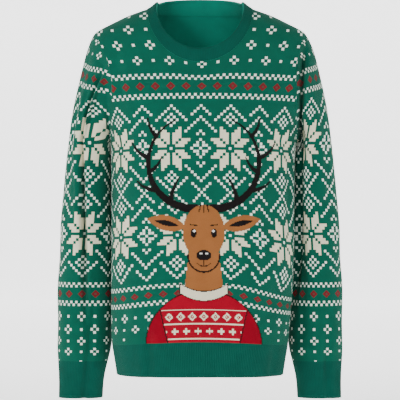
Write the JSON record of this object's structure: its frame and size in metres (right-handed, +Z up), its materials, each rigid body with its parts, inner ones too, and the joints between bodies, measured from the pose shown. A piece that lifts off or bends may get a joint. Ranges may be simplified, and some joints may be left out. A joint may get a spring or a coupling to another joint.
{
  "type": "christmas sweater",
  "caption": "Crew-neck long-sleeved jacquard knit sweater, hollow as worn, with ribbed neckband, cuffs and hem and a reindeer among snowflakes on the front.",
  "frame": {"origin": "midway between the two neck points of the shoulders, where the wearer's neck comes through", "axes": "+Z up, -Y the front of the sweater, +X to the right of a viewer who faces the front"},
  "size_m": [0.521, 0.2313, 0.7237],
  "materials": {
    "jacquard": "fine wool jersey, green with cream, red, tan and dark yarn",
    "rib": "fine wool rib, plain green"
  },
  "bodies": {
    "root": {"front_panel": "jacquard", "back_panel": "jacquard", "sleeve_left": "jacquard", "sleeve_right": "jacquard", "neck_rib": "rib", "hem_rib_front": "rib", "hem_rib_back": "rib", "cuff_left": "rib", "cuff_right": "rib"}
  },
  "joints": []
}
